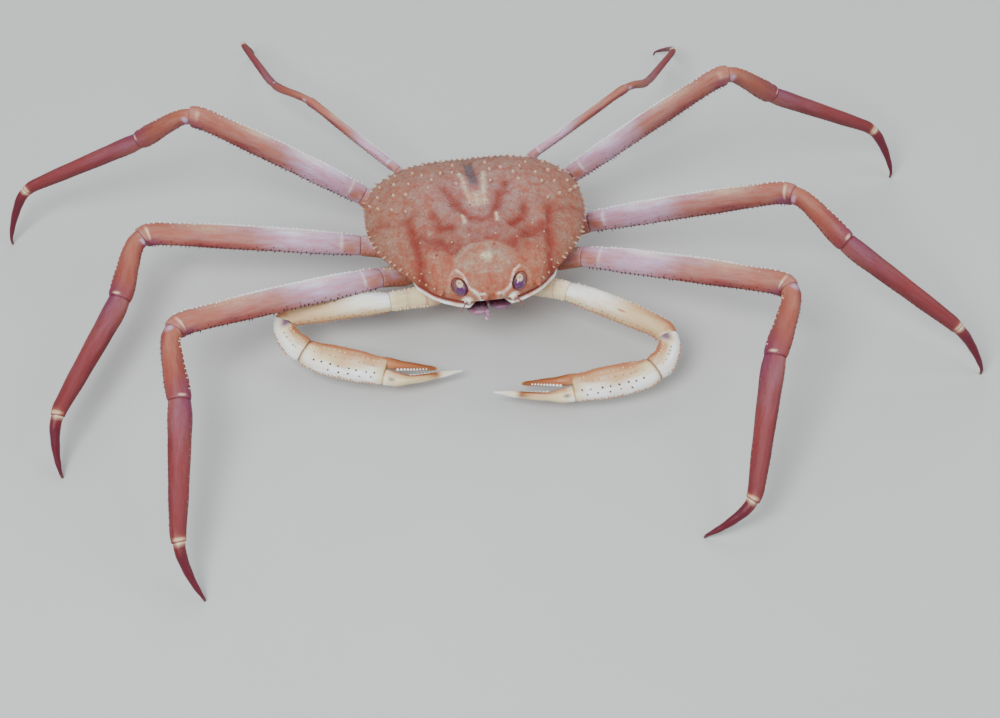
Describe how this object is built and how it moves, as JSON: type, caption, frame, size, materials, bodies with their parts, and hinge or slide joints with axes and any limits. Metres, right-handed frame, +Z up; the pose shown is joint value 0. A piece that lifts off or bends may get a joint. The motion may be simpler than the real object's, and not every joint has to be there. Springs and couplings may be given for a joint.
{
  "type": "grooved tanner crab model",
  "caption": "Still life-size model of a long-legged crab standing on its leg tips, with a spiny shell and slender claws folded in front.",
  "frame": {"origin": "centre of the bounding box on the floor that the leg tips stand on", "axes": "+X towards the crab's own left, -Y the way it faces, +Z up"},
  "size_m": [0.7272, 0.5546, 0.147],
  "materials": {
    "carapace": "tan to orange shell, redder in the grooves, semi-matt with cream tubercles",
    "underside": "pale cream shell, semi-matt",
    "eye": "wet dark purple, glossy",
    "antenna": "pale orange, semi-matt",
    "mouthpart": "reddish purple shell with cream edges",
    "claw": "cream to tan shell with dark red dots and cream spines",
    "finger": "orange brown with cream base and white tip, smooth",
    "leg_base": "cream and orange shell",
    "leg_merus": "pale pink shell grading to orange, semi-matt",
    "leg_carpus": "tan orange shell, semi-matt",
    "leg_propodus": "pink red shell, semi-matt",
    "leg_dactyl": "crimson shell, semi-matt"
  },
  "bodies": {
    "root": {"carapace": "carapace", "thorax": "underside", "abdomen": "underside", "eye_left": "eye", "antenna_left": "antenna", "maxilliped_left": "mouthpart", "cheliped_left_base": "claw", "cheliped_left_merus": "claw", "cheliped_left_carpus": "claw", "cheliped_left_palm": "claw", "cheliped_left_finger": "finger", "leg_1_left_base": "leg_base", "leg_1_left_merus": "leg_merus", "leg_1_left_carpus": "leg_carpus", "leg_1_left_propodus": "leg_propodus", "leg_1_left_dactyl": "leg_dactyl", "leg_2_left_base": "leg_base", "leg_2_left_merus": "leg_merus", "leg_2_left_carpus": "leg_carpus", "leg_2_left_propodus": "leg_propodus", "leg_2_left_dactyl": "leg_dactyl", "leg_3_left_base": "leg_base", "leg_3_left_merus": "leg_merus", "leg_3_left_carpus": "leg_carpus", "leg_3_left_propodus": "leg_propodus", "leg_3_left_dactyl": "leg_dactyl", "leg_4_left_base": "leg_base", "leg_4_left_merus": "leg_merus", "leg_4_left_carpus": "leg_carpus", "leg_4_left_propodus": "leg_propodus", "leg_4_left_dactyl": "leg_dactyl", "eye_right": "eye", "antenna_right": "antenna", "maxilliped_right": "mouthpart", "cheliped_right_base": "claw", "cheliped_right_merus": "claw", "cheliped_right_carpus": "claw", "cheliped_right_palm": "claw", "cheliped_right_finger": "finger", "leg_1_right_base": "leg_base", "leg_1_right_merus": "leg_merus", "leg_1_right_carpus": "leg_carpus", "leg_1_right_propodus": "leg_propodus", "leg_1_right_dactyl": "leg_dactyl", "leg_2_right_base": "leg_base", "leg_2_right_merus": "leg_merus", "leg_2_right_carpus": "leg_carpus", "leg_2_right_propodus": "leg_propodus", "leg_2_right_dactyl": "leg_dactyl", "leg_3_right_base": "leg_base", "leg_3_right_merus": "leg_merus", "leg_3_right_carpus": "leg_carpus", "leg_3_right_propodus": "leg_propodus", "leg_3_right_dactyl": "leg_dactyl", "leg_4_right_base": "leg_base", "leg_4_right_merus": "leg_merus", "leg_4_right_carpus": "leg_carpus", "leg_4_right_propodus": "leg_propodus", "leg_4_right_dactyl": "leg_dactyl"}
  },
  "joints": []
}
